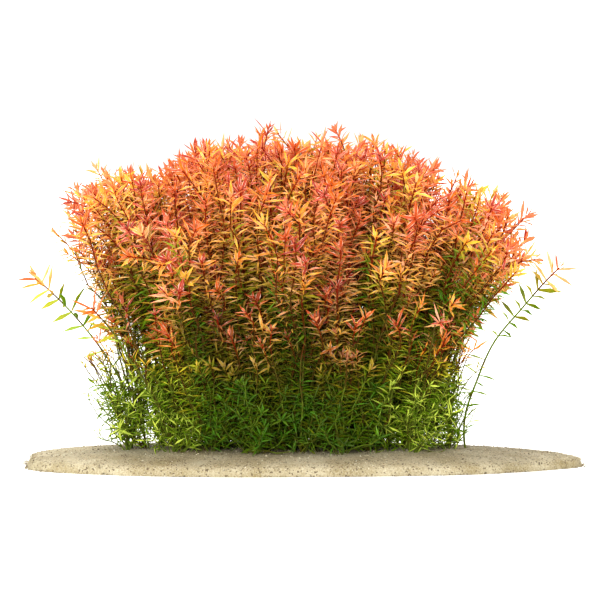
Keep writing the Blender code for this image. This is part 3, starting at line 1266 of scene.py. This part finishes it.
@dataclass
class PlantedStem:
    """One planted stem of the frame with its bunch of leafy shoots.

    Attributes:
        node: The solid that the bunch stands for.
        kind: How it grows.
        seed: Seed of its random draws.
        crown: The surface that its shoots reach.
        blade: Its leaf.
        ripening: How its leaves are coloured.
    """

    node: str
    kind: Growth
    seed: int
    crown: Crown = Crown()
    blade: LeafBlade = LeafBlade()
    ripening: Ripening = Ripening()

    # Points of a route
    ROUTE_POINTS = 40
    # Angle in degrees past which an edge stays sharp
    CREASE = 50
    # Leaves near the sand, and how low they and their tips may be
    LOW = (50 * MM, 140 * MM)
    LOWEST_LEAF = 18.0 * MM
    LOWEST_TIP = 14.5 * MM
    # Depths in the crown, as shares, where a leaf gets a plainer shape or is left out
    FINE_REACH = 13 * MM
    FINE_DEPTH = 0.8
    SLIVER_DEPTH = 0.72
    THINNED_DEPTH = 0.6
    THINNED = 0.55
    AIRY_THINNED = 0.5
    AIRY_NARROWER = 0.3
    VERY_LOW = 0.9
    # Shares of a curve's span at which its handles stand, and how it sways
    HANDLES = (0.4, 0.35)
    SWAY = 2.0 * MM
    SWAYING_LENGTH = 130 * MM
    WAVES = (0.7, 2.6)
    # How strongly a shoot's tip turns up, and how a route leans away from its stem
    UPWARD = 0.55 * UPRIGHT
    AWAY = 0.4
    # Side shoots: a few strays reach past the crown
    FIRST_REACH = 0.6
    DEPTH_POWER = 1.4
    STRAYS = 0.1
    STRAY_REACH = (0.02, 0.06)
    PAST_TIP = 0.15
    TIP_VARIED = 2.5 * MM
    TURN_VARIED = 0.35
    # Fillers: their forks and places as shares of the main shoot
    FILLER_FORKS = (0.03, 0.2)
    FILLER_PLACES = (0.14, 0.74)
    FILLER_OUTWARD = (0, 1.4)
    FILLER_REACH = (8 * MM, 40 * MM)
    FILLER_DEPTHS = (0.85, 1.0)
    FILLER_TURN_VARIED = 0.3
    FEWER_AT_ENDS = 0.35
    ENDS = (95 * MM, 165 * MM)
    # Ground shoots
    GROUND_REACH = (6 * MM, 34 * MM)
    GROUND_HEIGHTS = (22 * MM, 46 * MM)
    GROUND_FORK = 10 * MM
    GROUND_LEAN = 0.5
    BARE_FORK = 5 * MM
    # An arching stem is greener than its leaves up to near its tip
    STEM_PALER = 0.6
    STEM_RIPE = (0.75, 1.0)

    @property
    def habit(self) -> Habit:
        """The bunch that it grows."""
        return HABITS[self.kind]

    def main_route(self) -> np.ndarray:
        """The solid's axis, a cubic fitted through its own points.

        Returns:
            Points from the foot in the sand to just under the tip.
        """
        corners = np.array([vert.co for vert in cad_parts[self.node].data.vertices])
        heights = corners[:, 2]
        top = heights.max() - self.habit.bud
        levels = np.linspace(heights.min(), top, self.ROUTE_POINTS)
        middle, half = levels.mean(), np.ptp(levels) / 2
        columns = [
            np.polyval(np.polyfit((heights - middle) / half, side, deg=3), (levels - middle) / half)
            for side in corners.T[:2]
        ]
        return np.stack([*columns, levels], axis=-1)

    def curve(
        self, fork: np.ndarray, leave: np.ndarray, tip: np.ndarray, arrive: np.ndarray
    ) -> np.ndarray:
        """A bent route between two points.

        Args:
            fork: Where it starts.
            leave: Unit direction there.
            tip: Where it ends.
            arrive: Unit direction there.

        Returns:
            Points from the fork to the tip.
        """
        span = np.linalg.norm(tip - fork)
        out, back = self.HANDLES
        bends = [fork, fork + out * span * leave, tip - back * span * arrive, tip]
        t = np.linspace(0, 1, self.ROUTE_POINTS)[:, None]
        weights = [(1 - t) ** 3, 3 * (1 - t) ** 2 * t, 3 * (1 - t) * t**2, t**3]
        return sum(weight * bend for weight, bend in zip(weights, bends))

    def swayed(self, route: np.ndarray, draw: Draw) -> np.ndarray:
        """Gives a route slight bends.

        Args:
            route: Its points.
            draw: Source of random values.

        Returns:
            The bent route, with its two ends where they were.
        """
        share = np.linspace(0, 1, len(route))[:, None]
        waves, turns = draw.uniform(*self.WAVES, (2, 3)), draw.uniform(0, FULL_TURN, (2, 3))
        bends = sum(np.sin(FULL_TURN * wave * share + turn) for wave, turn in zip(waves, turns))
        long = min(1.0, float(np.linalg.norm(route[-1] - route[0])) / self.SWAYING_LENGTH)
        most = self.SWAY * self.habit.sway * long
        return route + most * np.sin(math.pi * share) * bends

    def side_route(self, main: Shoot, index: int, count: int, draw: Draw) -> np.ndarray:
        """A side shoot's route, out from its fork and up to its place in the crown.

        Args:
            main: The shoot that it grows from.
            index: Its number in the bunch.
            count: Side shoots in the bunch.
            draw: Source of random values.

        Returns:
            Points from the fork to the tip.
        """
        share = draw.uniform(*self.habit.forks)
        fork, start = (row[0] for row in main.at(np.array([share * main.length])))
        top = main.route[-1]
        first, second = across_frame(unit(top - self.crown.middle)[None])
        reach = self.habit.spread * math.sqrt((index + self.FIRST_REACH) / count)
        angle = index * GOLDEN_ANGLE + self.seed
        offset = reach * (math.cos(angle) * first[0] + math.sin(angle) * second[0])
        deepest, furthest = self.habit.depths
        depth = furthest - (furthest - deepest) * draw.uniform(0, 1) ** self.DEPTH_POWER
        if draw.uniform(0, 1) < self.STRAYS:
            depth += draw.uniform(*self.STRAY_REACH)
        past = self.PAST_TIP * (top - self.crown.middle)
        tip = self.crown.drawn_in(top + offset + past, depth)
        tip += draw.normal(0, self.TIP_VARIED, 3)
        away = self.AWAY * unit(offset)
        turned = self.crown.facing(tip) + away + draw.normal(0, self.TURN_VARIED, 3)
        return self.curve(fork, unit(start + away), tip, unit(turned + self.UPWARD))

    def filler_route(self, main: Shoot, draw: Draw) -> np.ndarray:
        """A shorter shoot's route, out to the clump's sides, which keeps them leafy down to the foot.

        Args:
            main: The shoot that it grows from.
            draw: Source of random values.

        Returns:
            Points from the fork to the tip.
        """
        share = draw.uniform(*self.FILLER_FORKS)
        fork, _ = main.at(np.array([share * main.length]))
        angle = draw.uniform(0, FULL_TURN)
        beside, _ = main.at(np.array([draw.uniform(*self.FILLER_PLACES) * main.length]))
        fork, beside = fork[0], beside[0]
        around = np.array([math.cos(angle), math.sin(angle), 0.0])
        away = unit(unit(beside * LEVEL) * draw.uniform(*self.FILLER_OUTWARD) + around)
        tip = beside + draw.uniform(*self.FILLER_REACH) * away
        tip = self.crown.drawn_in(tip, draw.uniform(*self.FILLER_DEPTHS))
        leave = unit(unit(tip - fork) + self.AWAY * away)
        turned = self.crown.facing(tip) + draw.normal(0, self.FILLER_TURN_VARIED, 3)
        return self.curve(fork, leave, tip, unit(turned + self.UPWARD))

    def ground_route(self, main: Shoot, draw: Draw) -> np.ndarray:
        """The route of a shoot that hides the sand between the feet.

        Args:
            main: The shoot that it grows from.
            draw: Source of random values.

        Returns:
            Points from the fork to the tip.
        """
        foot = main.route[0] * LEVEL
        angle = draw.uniform(0, FULL_TURN)
        away = np.array([math.cos(angle), math.sin(angle), 0.0])
        tip = foot + draw.uniform(*self.GROUND_REACH) * away
        tip = self.crown.drawn_in(tip + draw.uniform(*self.GROUND_HEIGHTS) * UPRIGHT, 1.0)
        arrive = unit(UPRIGHT + self.GROUND_LEAN * away)
        return self.curve(foot + self.GROUND_FORK * UPRIGHT, unit(away + UPRIGHT), tip, arrive)

    def shoots(self, draw: Draw) -> list[Shoot]:
        """Lays out the bunch.

        Args:
            draw: Source of random values.

        Returns:
            The main shoot, its side shoots, its fillers and its ground shoots.
        """
        habit = self.habit
        route = self.swayed(self.main_route(), draw)
        main = Shoot(route, self.LOWEST_LEAF - float(route[0, 2]), habit.spacing)
        main.leafy_from += habit.bare * main.length
        at_end = float(smooth_step(abs(route[-1, 0]), *self.ENDS))
        count = habit.shoots + round(habit.more_at_ends * at_end)
        routes = [self.side_route(main, index, count, draw) for index in range(count)]
        fillers = round(habit.fillers * (1 - self.FEWER_AT_ENDS * at_end))
        routes += [self.filler_route(main, draw) for _ in range(fillers)]
        routes += [self.ground_route(main, draw) for _ in range(habit.ground)]
        others = [Shoot(self.swayed(row, draw), self.BARE_FORK, habit.spacing) for row in routes]
        return [main, *others]

    def add_leaves(
        self, batch: Batch, shapes: Sequence[Template], shoot: Shoot, traits: Traits, draw: Draw
    ) -> None:
        """Adds a shoot's leaves.

        Args:
            batch: Mesh that they go into.
            shapes: The leaf's templates, the finest for leaves in sight and the plainest far in.
            shoot: The shoot that carries them.
            traits: What sets it apart.
            draw: Source of random values.
        """
        from_tip = np.repeat(shoot.nodes(draw), 2)
        centres, axes = self.blade.axes(shoot, from_tip, self.habit, draw)
        height = centres[:, 2]
        low = 1 - smooth_step(height, *self.LOW)
        young = np.exp(-((from_tip / self.blade.ageing) ** 2))
        outer = np.abs(centres[:, 0]) / self.crown.foot(centres)
        leaves = LeafPlaces(from_tip, height, low, young, outer)
        sizes = self.blade.sizes(leaves, self.habit, traits, draw)
        tip_height = float(shoot.route[-1, 2])
        growth, airy = self.ripening.coloured(leaves, tip_height, self.habit, traits, draw)
        sizes[1] *= 1 - self.AIRY_NARROWER * airy

        depth = self.crown.share(centres)
        tips = height + sizes[0] * axes[:, 1, 2]
        kept = (height > self.LOWEST_LEAF) & (tips > self.LOWEST_TIP)
        deep = (depth < self.THINNED_DEPTH) & (low < self.VERY_LOW)
        thinned = np.where(deep, self.THINNED, self.AIRY_THINNED * airy)
        kept &= draw.uniform(0, 1, len(from_tip)) > thinned
        fine = kept & (self.habit.alone | (from_tip < self.FINE_REACH)) & (depth > self.FINE_DEPTH)
        sliver = kept & ((depth < self.SLIVER_DEPTH) | (low > self.VERY_LOW)) & ~fine
        for shape, chosen in zip(shapes, (fine, kept & ~fine & ~sliver, sliver)):
            if chosen.any():
                local = self.blade.bent(shape, sizes[:, chosen])
                points = centres[chosen][:, None] + local @ axes[chosen]
                spread = np.repeat(growth[chosen][:, None], len(shape.points), axis=1)
                maps = np.stack([0.5 + 0.5 * shape.points[:, 0], shape.points[:, 1]], axis=-1)
                batch.add(shape, points, spread, 0, maps, self.blade.undersides(shape))

    def add_tube(self, batch: Batch, shape: Template, shoot: Shoot) -> None:
        """Adds a shoot's stem, a tube along its route.

        Args:
            batch: Mesh that it goes into.
            shape: Template of the tube.
            shoot: The shoot.
        """
        habit = self.habit
        share = np.clip(shape.points[:, 1], 0, 1)
        height = shoot.at(share * shoot.length)[0][:, 2]
        from_tip = (1 - share) * shoot.length
        ripe = self.ripening.usual(height, from_tip, float(shoot.route[-1, 2]))
        paler = self.STEM_PALER * habit.paler * (1 - smooth_step(share, *self.STEM_RIPE))
        ripe = np.clip(ripe - (habit.greener + paler), 0, 1)
        growth = np.stack([ripe, share, share], axis=-1)
        batch.add(shape, shoot.tube(shape, habit.breadth)[None], growth[None], 1)

    def build(
        self,
        leaves: Sequence[Template],
        tubes: Sequence[Template],
        finishes: Sequence[bpy.types.Material],
    ) -> bpy.types.Object:
        """Builds the bunch in the solid's place.

        Args:
            leaves: The leaf's templates.
            tubes: The templates of the main stem and of the others.
            finishes: Materials of the leaves and the stems.

        Returns:
            The piece.
        """
        draw = np.random.default_rng(SEED + self.seed)
        batch = Batch()
        for index, shoot in enumerate(self.shoots(draw)):
            traits = Traits.drawn(index == 0, draw)
            self.add_tube(batch, tubes[min(index, 1)], shoot)
            self.add_leaves(batch, leaves, shoot, traits, draw)
        piece = batch.piece(f"{self.node}_foliage", finishes, self.CREASE)
        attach(piece, "root")
        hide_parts(self.node)
        return piece


@dataclass(frozen=True)
class SandBed:
    """The mound of sand, with a finer surface and loose grains on it.

    Attributes:
        middle: Height in its middle.
        rim: Height near its rim.
        rim_edge: Height of the rim's lower edge, as a share of that.
        dome_power: How flat its top is, flatter the lower it is.
        waves: Number, phase and share of each wave of its outline.
        power_left: How blunt its left end is.
        power_right: How blunt its right end is.
        ragged: How ragged its outline is.
        lump: Height of its low lumps.
        lumps: Waves and phase of the lumps, along and across.
        ripple: Height of its fine ripples.
        ripples: Waves of the ripples along and across.
        ripple_bend: How far the ripples wander, and the waves of that.
        crowding: How much closer the rings are near the rim.
        crease: Angle in degrees past which an edge stays sharp.
    """

    half_length: float = 221 * MM
    half_depth: float = 113 * MM
    middle: float = 16.5 * MM
    rim: float = 4.0 * MM
    rim_edge: float = 0.55
    dome_power: float = 0.42
    waves: tuple[Point, ...] = ((3, 0.6, 0.02), (7, 2.1, 0.014))
    power_left: float = 2.7
    power_right: float = 2.0
    ragged: float = 0.0035
    lump: float = 0.7 * MM
    lumps: tuple[Span, Span] = ((34, 1.3), (47, 0.4))
    ripple: float = 0.25 * MM
    ripples: Span = (900, 1100)
    ripple_bend: Span = (7, 310)
    segments: int = 150
    rings: int = 44
    crowding: float = 1.2
    crease: float = 60

    def outline(self, angle: np.ndarray) -> np.ndarray:
        """Draws the wavy rim, blunt on the left.

        Args:
            angle: Angles round the bed.

        Returns:
            How far it stands out there, as a share of its ellipse.
        """
        power = np.where(np.cos(angle) < 0, self.power_left, self.power_right)
        boxed = (np.abs(np.cos(angle)) ** power + np.abs(np.sin(angle)) ** power) ** (-1 / power)
        return boxed * (1 + sum(most * np.sin(n * angle + phase) for n, phase, most in self.waves))

    def height(self, x: np.ndarray, y: np.ndarray) -> np.ndarray:
        """Height of the bed's surface.

        Args:
            x: Places along the bed.
            y: Places across it.

        Returns:
            The heights there.
        """
        along, across = x / self.half_length, y / self.half_depth
        share = np.hypot(along, across) / self.outline(np.arctan2(across, along))
        dome = np.maximum(0.0, 1 - share * share)
        rise = (self.middle - self.rim) * dome**self.dome_power
        (count, phase), (count_across, phase_across) = self.lumps
        lump = np.sin(count * x + phase) * np.sin(count_across * y + phase_across)
        return self.rim + rise + self.lump * lump * dome

    def rippled(self, x: float, y: float) -> float:
        """Height of the fine ripples at a place."""
        (along, across), (bend, bends) = self.ripples, self.ripple_bend
        return self.ripple * math.sin(along * x + bend * math.sin(bends * y)) * math.sin(across * y)

    def surface(self, finish: bpy.types.Material) -> bpy.types.Object:
        """Builds the bed as one closed mound.

        Args:
            finish: Its material.

        Returns:
            The piece.
        """
        bm = bmesh.new()
        ring, edges = capped_ring(bm, self.segments)
        wobbles = 1 + np.random.default_rng(SEED).normal(0, self.ragged, self.segments)
        for vert, wobble in zip(ring, wobbles):
            share = float(self.outline(math.atan2(vert.co.y, vert.co.x))) * wobble
            vert.co = Vector((vert.co.x * self.half_length, vert.co.y * self.half_depth, 0)) * share
        reached = 1.0
        for index in range(self.rings):
            share = 1 - (index / self.rings) ** self.crowding
            ring, edges = next_ring(bm, edges)
            bmesh.ops.scale(bm, verts=ring, vec=Vector((share / reached, share / reached, 1)))
            reached = share
            for vert in ring:
                x, y, _ = vert.co
                height = float(self.height(x, y)) * (1 if index else self.rim_edge)
                vert.co.z = height + self.rippled(x, y)
        cap = bmesh.ops.contextual_create(bm, geom=edges)["faces"]
        top = bmesh.ops.poke(bm, faces=cap)["verts"][0]
        top.co.z = float(self.height(top.co.x, top.co.y))
        bmesh.ops.recalc_face_normals(bm, faces=bm.faces)
        piece = meshed("sand_surface", bm, finish)
        piece.data.shade_smooth()
        piece.data.set_sharp_from_angle(angle=math.radians(self.crease))
        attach(piece, "root")
        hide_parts("sand_bed")
        return piece


@dataclass(frozen=True)
class LooseGrains:
    """Single grains that lie on the bed and just past its rim.

    Attributes:
        bed: The bed that they lie on.
        at_rim: Share of them at the rim.
        scatter: How far those lie from the rim, as a share.
        radius: The usual radius in millimetres, as in the next two.
        on_bed: Share of the way out up to which a grain lies on the bed.
        sunk: Height of its middle above the bed, in radii.
        standing: The same above the floor.
        stretch: Least and most width of a grain along each of its axes, in radii.
        crease: Angle in degrees past which an edge stays sharp.
    """

    bed: SandBed
    count: int = 7000
    at_rim: float = 0.3
    scatter: float = 0.012
    radius: float = 0.42
    radius_varied: float = 0.3
    radii: Span = (0.2, 1.0)
    on_bed: float = 0.998
    sunk: float = 0.1
    standing: float = 1.3
    stretch: Span = (0.7, 1.3)
    crease: float = 80

    def build(self, finish: bpy.types.Material) -> bpy.types.Object:
        """Scatters the grains.

        Args:
            finish: Their material.

        Returns:
            The piece.
        """
        bm = bmesh.new()
        bmesh.ops.create_uvsphere(bm, u_segments=4, v_segments=2, radius=1.0)
        shape = Template.from_bmesh(bm)
        draw = np.random.default_rng(SEED + 1)
        angle = draw.uniform(0, FULL_TURN, self.count)
        share = np.sqrt(draw.uniform(0, 1, self.count))
        at_rim = draw.uniform(0, 1, self.count) < self.at_rim
        share = np.where(at_rim, 1 + draw.normal(0, self.scatter, self.count), share)
        reach = share * self.bed.outline(angle)
        x = reach * self.bed.half_length * np.cos(angle)
        y = reach * self.bed.half_depth * np.sin(angle)
        radius = draw.lognormal(math.log(self.radius), self.radius_varied, self.count)
        radius = np.clip(radius, *self.radii) * MM
        lying = self.bed.height(x, y) + self.sunk * radius
        z = np.where(share < self.on_bed, lying, self.standing * radius)
        widths = draw.uniform(*self.stretch, (self.count, 1, 3)) * radius[:, None, None]
        turns = draw.uniform(0, FULL_TURN, self.count)
        cos, sin = np.cos(turns), np.sin(turns)
        spun = np.zeros((self.count, 3, 3))
        spun[:, 0, 0], spun[:, 0, 1], spun[:, 1, 0], spun[:, 1, 1], spun[:, 2, 2] = cos, sin, -sin, cos, 1
        points = np.stack([x, y, z], axis=-1)[:, None] + (shape.points[None] * widths) @ spun
        shade = draw.uniform(0, 1, self.count)
        batch = Batch()
        batch.add(shape, points, np.tile(shade[:, None, None], (1, len(shape.points), 3)), 0)
        piece = batch.piece("sand_grains", [finish], self.crease)
        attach(piece, "root")
        return piece


@dataclass(frozen=True)
class Studio:
    """Pale floor, soft light from above and the camera, a little above level in front of the clump.

    Attributes:
        elevation: Angle in degrees of the camera above level.
        distance: Its distance from the point that it looks at.
        aim: That point.
        lens: Its focal length in millimetres.
        sensor: Width of its sensor in millimetres.
        nearest: Distance from it where sight begins.
        lights: Name, place, angle in degrees that it fills, and strength of each soft light.
        sky: Strength of the white light from all round.
    """

    elevation: float = 2.6
    distance: float = 4.0
    aim: Point = (0.0, 0.0, 133 * MM)
    lens: float = 300.0
    sensor: float = 36
    nearest: float = 0.05
    floor_radius: float = 12.0
    floor_sides: int = 64
    lights: tuple[tuple[str, Point, float, float], ...] = (
        ("key", (-0.3, 0.1, 2.0), 16, 2.25),
        ("fill", (-0.35, -1.8, 0.6), 16, 3.15),
        ("back", (0.5, 1.5, 1.1), 50, 1.0),
        ("left", (-1.8, -0.2, 0.5), 60, 0.8),
        ("right", (1.8, -0.2, 0.5), 60, 0.8),
    )
    sky: float = 0.98

    def aimed(self, name: str, data: bpy.types.ID, place: Vector) -> bpy.types.Object:
        """Puts a camera or a light somewhere and points it at the clump.

        Args:
            name: Its name.
            data: The camera or the light.
            place: Where it stands.

        Returns:
            Its object.
        """
        made = linked(name, data)
        made.location = place
        made.rotation_euler = (Vector(self.aim) - place).to_track_quat("-Z", "Y").to_euler()
        return made

    def camera(self) -> None:
        """Sets up the camera, at the photograph's angle."""
        lens = bpy.data.cameras.new("camera")
        lens.sensor_width = self.sensor
        lens.lens = self.lens
        lens.clip_start = self.nearest
        angle = math.radians(self.elevation)
        back = Vector((0, -math.cos(angle), math.sin(angle)))
        place = Vector(self.aim) + self.distance * back
        bpy.context.scene.camera = self.aimed("camera", lens, place)

    def light(self, name: str, place: Point, width: float, power: float) -> None:
        """Adds a broad soft light from far off.

        Args:
            name: Its name.
            place: Where it shines from, towards the clump.
            width: Angle in degrees that it fills.
            power: Its strength.
        """
        lamp = bpy.data.lights.new(name, "SUN")
        lamp.angle = math.radians(width)
        lamp.energy = power
        self.aimed(name, lamp, Vector(place))

    def floor(self) -> None:
        """Lays the pale floor, a wide disc under the bed."""
        bm = bmesh.new()
        capped_ring(bm, self.floor_sides)
        bmesh.ops.scale(bm, verts=bm.verts, vec=Vector((self.floor_radius, self.floor_radius, 1)))
        made = meshed("floor", bm, FloorFinish().material())

    def build(self) -> None:
        """Sets up the floor, the lights, the camera and the picture's tones."""
        self.floor()
        self.camera()
        for light in self.lights:
            self.light(*light)
        world = bpy.data.worlds.new("studio")
        world.use_nodes = True
        sky = world.node_tree.nodes["Background"]
        sky.inputs["Color"].default_value = (1.0, 1.0, 1.0, 1.0)
        sky.inputs["Strength"].default_value = self.sky
        bpy.context.scene.world = world
        tones = bpy.context.scene.view_settings
        tones.view_transform = "Standard"
        tones.look = "Medium High Contrast"


def main() -> None:
    """Builds the foliage, the sand and the studio."""
    logging.basicConfig(level=logging.INFO, format="%(name)s: %(message)s")
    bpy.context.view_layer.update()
    leaves, tubes = LeafBlade().templates(), Shoot.tube_templates()
    finishes = [LeafFinish().material(), StemFinish().material()]
    pieces = []
    for seed, node in enumerate(sorted(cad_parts)):
        kind = next((growth for growth in Growth if node.startswith(growth.value)), None)
        if kind is not None:
            pieces.append(PlantedStem(node, kind, seed).build(leaves, tubes, finishes))
    bed = SandBed()
    pieces.append(bed.surface(SandFinish().material()))
    pieces.append(LooseGrains(bed).build(GrainFinish().material()))
    for piece in pieces:
        log.info("%s: %d faces", piece.name, len(piece.data.polygons))
    log.info("faces in all: %d", sum(len(piece.data.polygons) for piece in pieces))
    Studio().build()
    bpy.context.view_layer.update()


if __name__ == "__main__":
    main()
